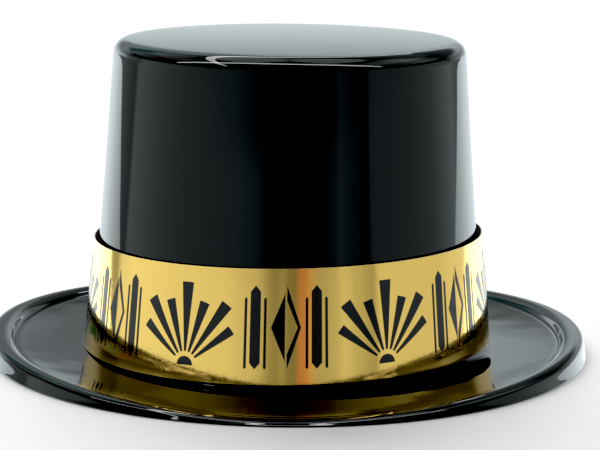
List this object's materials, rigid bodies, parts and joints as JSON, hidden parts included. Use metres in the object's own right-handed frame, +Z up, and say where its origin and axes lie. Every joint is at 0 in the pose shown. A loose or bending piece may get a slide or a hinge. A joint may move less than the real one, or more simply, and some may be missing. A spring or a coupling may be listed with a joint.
{
  "type": "party top hat",
  "caption": "Oval plastic top hat with a curled, beaded brim and a loose gold foil card band that lifts off over the crown.",
  "frame": {"origin": "centre of the bounding box at its base, where the trimmed brim edge stands", "axes": "+Z up through the crown, -Y towards the front of the hat, +X to the viewer's right when facing the front"},
  "size_m": [0.2588, 0.3006, 0.1342],
  "materials": {
    "black_plastic": "high gloss vacuum-formed sheet",
    "gold_foil_card": "mirror gold foil face on thin card, printed in gloss black",
    "clear_tape": "double-sided tape"
  },
  "bodies": {
    "hat": {"hat_shell": "black_plastic"},
    "band": {"foil_band": "gold_foil_card", "overlap_tape": "clear_tape"}
  },
  "joints": [
    {"name": "band_lift", "type": "slide", "parent": "hat", "child": "band", "axis": [0, 0, 1], "range_m": [0, 0.135]}
  ]
}
